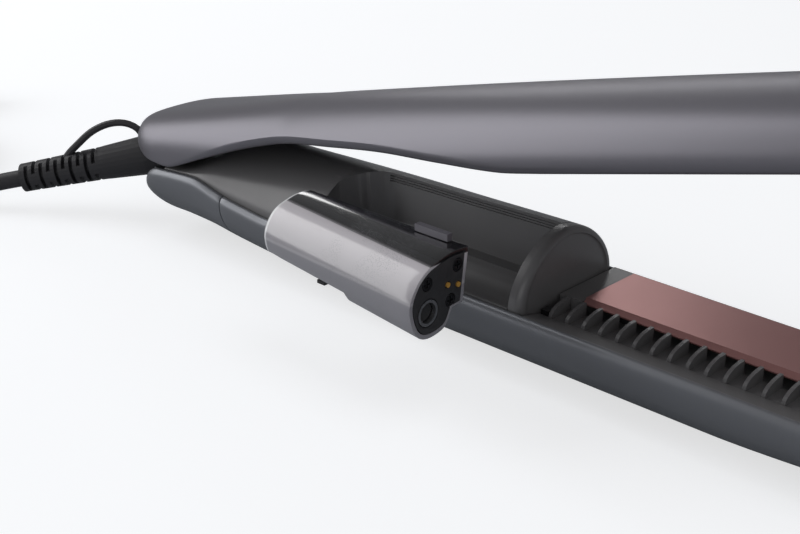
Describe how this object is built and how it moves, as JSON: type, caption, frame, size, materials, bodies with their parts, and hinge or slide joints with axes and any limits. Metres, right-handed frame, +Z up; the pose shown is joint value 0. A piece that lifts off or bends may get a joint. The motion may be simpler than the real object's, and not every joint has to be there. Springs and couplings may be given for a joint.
{
  "type": "steam hair straightener",
  "caption": "Steam hair straightener with two hinged arms, heated plates, a lifting comb, a pull-out water tank, side buttons and a swivelling mains cord.",
  "frame": {"origin": "middle of the flat underside that the lower arm stands on, on the table", "axes": "+X from the hinge to the tips, +Z up, -Y the side that the tank is drawn out of"},
  "size_m": [0.509, 0.1388, 0.1128],
  "materials": {
    "satin_grey": "dark grey satin paint on moulded plastic",
    "satin_light": "mid grey satin paint with a faint pearl on moulded plastic",
    "black_plastic": "fine textured black moulding",
    "gloss_black": "polished black moulding",
    "rose_coating": "rose coloured ceramic coating on aluminium, satin",
    "smoke_tank": "clear smoke tinted moulding",
    "steel": "bright turned steel",
    "gold_contact": "gold plated contact",
    "rubber": "matt black rubber",
    "boot_rubber": "soft dark grey cord plastic",
    "board_green": "lacquered circuit board",
    "ceramic_white": "unglazed white ceramic"
  },
  "bodies": {
    "lower_arm": {"lower_shell": "satin_grey", "lower_end_cap": "satin_grey", "lower_tip_cap": "satin_grey", "handle_housing": "black_plastic", "bulkhead": "black_plastic", "lower_jaw_housing": "black_plastic", "lower_rear_pad": "rubber", "lower_front_pad": "rubber", "hinge_pin": "steel", "arm_contact_1": "gold_contact", "arm_contact_2": "gold_contact", "inlet_seal": "rubber", "control_board": "board_green", "switch_board": "board_green", "water_pump": "steel", "steam_boiler": "steel", "swivel_hub": "boot_rubber", "cord": "boot_rubber", "cord_coil": "boot_rubber", "cord_tie": "black_plastic", "mains_plug": "black_plastic", "plug_pin_1": "steel", "plug_pin_2": "steel"},
    "upper_arm": {"upper_shell": "satin_light", "upper_tip_cap": "satin_light", "upper_jaw_housing": "black_plastic", "upper_rear_pad": "rubber", "upper_front_pad": "rubber", "hinge_spring": "steel"},
    "lower_plate_body": {"lower_plate": "rose_coating", "lower_heater": "ceramic_white"},
    "upper_plate_body": {"upper_plate": "rose_coating", "upper_heater": "ceramic_white"},
    "comb_body": {"comb": "black_plastic"},
    "comb_latch_body": {"comb_latch": "gloss_black"},
    "power_button_body": {"power_button": "gloss_black"},
    "minus_button_body": {"minus_button": "gloss_black"},
    "plus_button_body": {"plus_button": "gloss_black"},
    "steam_button_body": {"steam_button": "gloss_black"},
    "tank_body": {"tank_shell": "smoke_tank", "tank_cap": "black_plastic", "tank_guide": "satin_light", "tank_screw_1": "steel", "tank_screw_2": "steel", "tank_screw_3": "steel", "tank_contact_1": "gold_contact", "tank_contact_2": "gold_contact", "outlet_bush": "steel", "filler_plug": "rubber"},
    "outlet_valve_body": {"outlet_valve": "rubber"},
    "boot_body": {"cord_boot": "boot_rubber"}
  },
  "joints": [
    {"name": "arm_hinge", "type": "hinge", "parent": "lower_arm", "child": "upper_arm", "pos_m": [-0.164, 0, 0.039], "axis": [0, -1, 0], "range_deg": [-14, 0], "stiffness_Nm_per_rad": 1, "springref_deg": 34.38},
    {"name": "lower_plate_float", "type": "slide", "parent": "lower_arm", "child": "lower_plate_body", "axis": [0, 0, -1], "range_m": [0, 0.001], "stiffness_N_per_m": 4000, "springref_m": -0.0005},
    {"name": "upper_plate_float", "type": "slide", "parent": "upper_arm", "child": "upper_plate_body", "axis": [-0.2419, 0, 0.9703], "range_m": [0, 0.001], "stiffness_N_per_m": 4000, "springref_m": -0.0005},
    {"name": "comb_lift", "type": "slide", "parent": "lower_arm", "child": "comb_body", "axis": [0, 0, 1], "range_m": [0, 0.012]},
    {"name": "comb_latch_press", "type": "slide", "parent": "lower_arm", "child": "comb_latch_body", "axis": [0, 0, -1], "range_m": [0, 0.0008], "stiffness_N_per_m": 600, "springref_m": -0.0003},
    {"name": "power_press", "type": "slide", "parent": "lower_arm", "child": "power_button_body", "axis": [0, -1, 0], "range_m": [0, 0.0006], "stiffness_N_per_m": 1500, "springref_m": -0.0003},
    {"name": "minus_press", "type": "slide", "parent": "lower_arm", "child": "minus_button_body", "axis": [0, -1, 0], "range_m": [0, 0.0006], "stiffness_N_per_m": 1500, "springref_m": -0.0003},
    {"name": "plus_press", "type": "slide", "parent": "lower_arm", "child": "plus_button_body", "axis": [0, -1, 0], "range_m": [0, 0.0006], "stiffness_N_per_m": 1500, "springref_m": -0.0003},
    {"name": "steam_press", "type": "slide", "parent": "lower_arm", "child": "steam_button_body", "axis": [0, -1, 0], "range_m": [0, 0.0006], "stiffness_N_per_m": 1500, "springref_m": -0.0003},
    {"name": "tank_slide", "type": "slide", "parent": "lower_arm", "child": "tank_body", "axis": [0, 1, 0], "range_m": [0, 0.0435]},
    {"name": "outlet_valve_press", "type": "slide", "parent": "tank_body", "child": "outlet_valve_body", "axis": [-1, 0, 0], "range_m": [0, 0.0012], "stiffness_N_per_m": 400, "springref_m": -0.0004},
    {"name": "boot_swivel", "type": "hinge", "parent": "lower_arm", "child": "boot_body", "pos_m": [-0.178, 0, 0.028], "axis": [-0.7493, -0.6287, -0.2079], "continuous": true}
  ]
}
